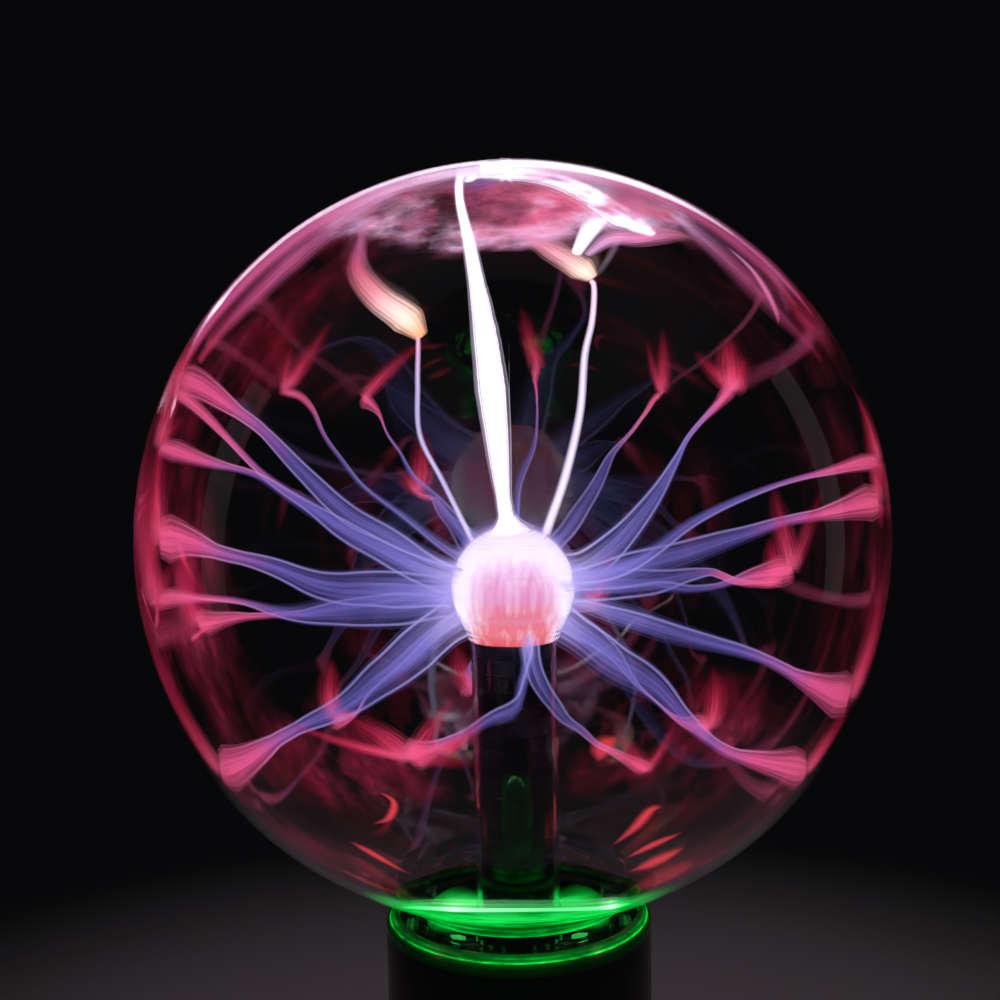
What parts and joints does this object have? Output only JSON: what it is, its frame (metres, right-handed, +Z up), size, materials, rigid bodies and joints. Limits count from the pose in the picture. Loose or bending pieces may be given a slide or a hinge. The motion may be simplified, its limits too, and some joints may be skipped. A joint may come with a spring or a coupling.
{
  "type": "plasma ball",
  "caption": "Glass globe on a round flared base, with a bulb electrode on a wound stem inside, a lit rim at the collar, a rear rocker switch and a power socket.",
  "frame": {"origin": "on the floor under the middle of the base", "axes": "+Z up through the base, stem and globe; +Y out of the flat rear panel with the switch and socket"},
  "size_m": [0.2, 0.2, 0.288],
  "materials": {
    "globe_glass": "clear blown glass",
    "stem_glass": "clear glass tube",
    "exhaust_tip": "clear glass, flame sealed",
    "electrode_coating": "conductive lining, lit by the discharge",
    "stem_liner": "wound insulating tape, satin",
    "contact_cap": "formed",
    "contact_spring": "drawn wire",
    "contact_cup": "turned",
    "stem_bung": "moulded",
    "hv_lead": "silicone insulation",
    "globe_gasket": "closed-cell foam",
    "neck_seal": "cured silicone",
    "light_ring": "clear acrylic lit green from below",
    "led_board": "solder mask",
    "leds": "moulded, green light",
    "led_resistors": "chip resistor",
    "led_leads": "wire insulation",
    "base_shell": "moulded, semi-gloss",
    "base_cover": "moulded, matt",
    "feet": "moulded",
    "cover_screws": "zinc plated",
    "main_board": "solder mask",
    "board_screws": "zinc plated",
    "ferrite_core": "sintered ferrite",
    "hv_winding": "potted winding",
    "primary_winding": "taped winding",
    "heatsink": "extruded",
    "power_transistor": "moulded package",
    "transistor_screw": "zinc plated",
    "electrolytic_capacitors": "sleeved can",
    "film_capacitors": "dipped",
    "resistors": "lacquered",
    "driver_chip": "moulded package",
    "switch_housing": "moulded nylon",
    "switch_rocker": "moulded nylon",
    "switch_terminals": "tinned",
    "jack_body": "moulded",
    "jack_pin": "plated",
    "jack_sleeve_tab": "plated",
    "power_leads": "wire insulation"
  },
  "bodies": {
    "base": {"globe_glass": "globe_glass", "stem_glass": "stem_glass", "exhaust_tip": "exhaust_tip", "electrode_coating": "electrode_coating", "stem_liner": "stem_liner", "contact_cap": "contact_cap", "contact_spring": "contact_spring", "contact_cup": "contact_cup", "stem_bung": "stem_bung", "hv_lead": "hv_lead", "globe_gasket": "globe_gasket", "neck_seal": "neck_seal", "light_ring": "light_ring", "led_board": "led_board", "leds": "leds", "led_resistors": "led_resistors", "led_leads": "led_leads", "base_shell": "base_shell", "base_cover": "base_cover", "feet": "feet", "cover_screws": "cover_screws", "main_board": "main_board", "board_screws": "board_screws", "ferrite_core": "ferrite_core", "hv_winding": "hv_winding", "primary_winding": "primary_winding", "heatsink": "heatsink", "power_transistor": "power_transistor", "transistor_screw": "transistor_screw", "electrolytic_capacitors": "electrolytic_capacitors", "film_capacitors": "film_capacitors", "resistors": "resistors", "driver_chip": "driver_chip", "switch_housing": "switch_housing", "switch_terminals": "switch_terminals", "jack_body": "jack_body", "jack_pin": "jack_pin", "jack_sleeve_tab": "jack_sleeve_tab", "power_leads": "power_leads"},
    "rocker": {"switch_rocker": "switch_rocker"}
  },
  "joints": [
    {"name": "rocker_tilt", "type": "hinge", "parent": "base", "child": "rocker", "pos_m": [0.0095, 0.063, 0.013], "axis": [0, 0, 1], "range_deg": [-24, 0]}
  ]
}
